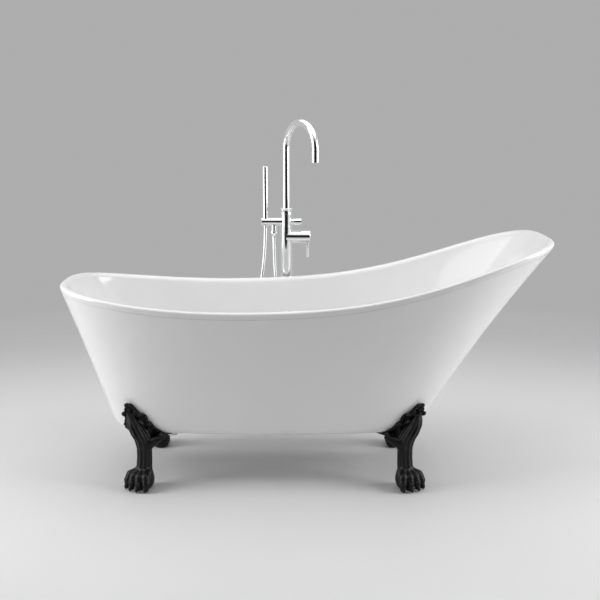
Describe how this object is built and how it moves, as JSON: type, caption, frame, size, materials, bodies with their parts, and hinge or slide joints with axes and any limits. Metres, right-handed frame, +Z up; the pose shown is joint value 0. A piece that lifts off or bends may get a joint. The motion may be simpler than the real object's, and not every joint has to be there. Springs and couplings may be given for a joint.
{
  "type": "clawfoot bathtub",
  "caption": "Freestanding double-skinned slipper bath with one raised end on cast claw feet, with a floor-standing filler: swivel gooseneck spout, lever mixer and stick hand shower.",
  "frame": {"origin": "on the floor, within 8 mm of the centre of the whole object's plan", "axes": "+X along the bath towards the raised back rest, +Y towards the filler behind it, +Z up"},
  "size_m": [1.6803, 0.8391, 1.2319],
  "materials": {
    "acrylic": "high-gloss white acrylic",
    "sealant": "matte sealant line",
    "plywood": "resin-coated plywood",
    "foot_iron": "satin black enamel on cast iron",
    "zinc_steel": "zinc-plated steel",
    "pad_rubber": "matte black rubber",
    "seal_rubber": "soft dark silicone",
    "white_pvc": "satin white plastic",
    "chrome": "polished chrome plate",
    "hose_chrome": "interlocked chrome-plated hose",
    "brass": "machined brass",
    "copper_pipe": "drawn copper"
  },
  "bodies": {
    "root": {"inner_shell": "acrylic", "outer_skirt": "acrylic", "rim_joint": "sealant", "base_board": "plywood", "board_battens": "plywood", "foot_front_left": "foot_iron", "foot_front_right": "foot_iron", "foot_back_left": "foot_iron", "foot_back_right": "foot_iron", "foot_bolts": "zinc_steel", "foot_washers": "zinc_steel", "thread_inserts": "zinc_steel", "foot_pads": "pad_rubber", "drain_gasket": "seal_rubber", "overflow_gasket": "seal_rubber", "spout_seals": "seal_rubber", "drain_nut": "white_pvc", "drain_tee": "white_pvc", "overflow_elbow": "white_pvc", "overflow_pipe": "white_pvc", "cartridge": "white_pvc", "drain_flange": "chrome", "overflow_cover": "chrome", "floor_flange": "chrome", "column": "chrome", "filler_body": "chrome", "riser_collar": "chrome", "hose_nipple": "chrome", "hose_nut": "chrome", "shower_hose": "hose_chrome", "mounting_plate": "brass", "cartridge_nut": "brass", "diverter_bush": "brass", "hot_supply_pipe": "copper_pipe", "cold_supply_pipe": "copper_pipe"},
    "spout": {"spout": "chrome", "aerator": "white_pvc", "aerator_screen": "white_pvc"},
    "valve_carrier": {"valve_carrier": "brass"},
    "handle": {"valve_stem": "brass", "handle_hub": "chrome", "pin_lever": "chrome", "grub_screw": "zinc_steel"},
    "diverter": {"diverter_knob": "chrome", "diverter_spindle": "brass"},
    "hand_shower": {"hand_shower": "chrome", "spray_face": "seal_rubber", "wand_nut": "chrome"},
    "drain_plug": {"drain_plug": "chrome"}
  },
  "joints": [
    {"name": "spout_swivel", "type": "hinge", "parent": "root", "child": "spout", "pos_m": [-0.064, 0.3675, 0.87], "axis": [0, 0, 1], "range_deg": [-80, 45]},
    {"name": "handle_temperature", "type": "hinge", "parent": "root", "child": "valve_carrier", "pos_m": [-0.023, 0.3675, 0.781], "axis": [1, 0, 0], "range_deg": [-45, 45]},
    {"name": "handle_flow", "type": "hinge", "parent": "valve_carrier", "child": "handle", "pos_m": [-0.023, 0.3675, 0.781], "axis": [0, -1, 0], "range_deg": [0, 20]},
    {"name": "diverter_turn", "type": "hinge", "parent": "root", "child": "diverter", "pos_m": [-0.022, 0.3675, 0.839], "axis": [1, 0, 0], "range_deg": [0, 90]},
    {"name": "hand_shower_lift", "type": "slide", "parent": "root", "child": "hand_shower", "axis": [0, 0, 1], "range_m": [0, 0.03]},
    {"name": "plug_lift", "type": "slide", "parent": "root", "child": "drain_plug", "axis": [0, 0, 1], "range_m": [0, 0.01]}
  ]
}
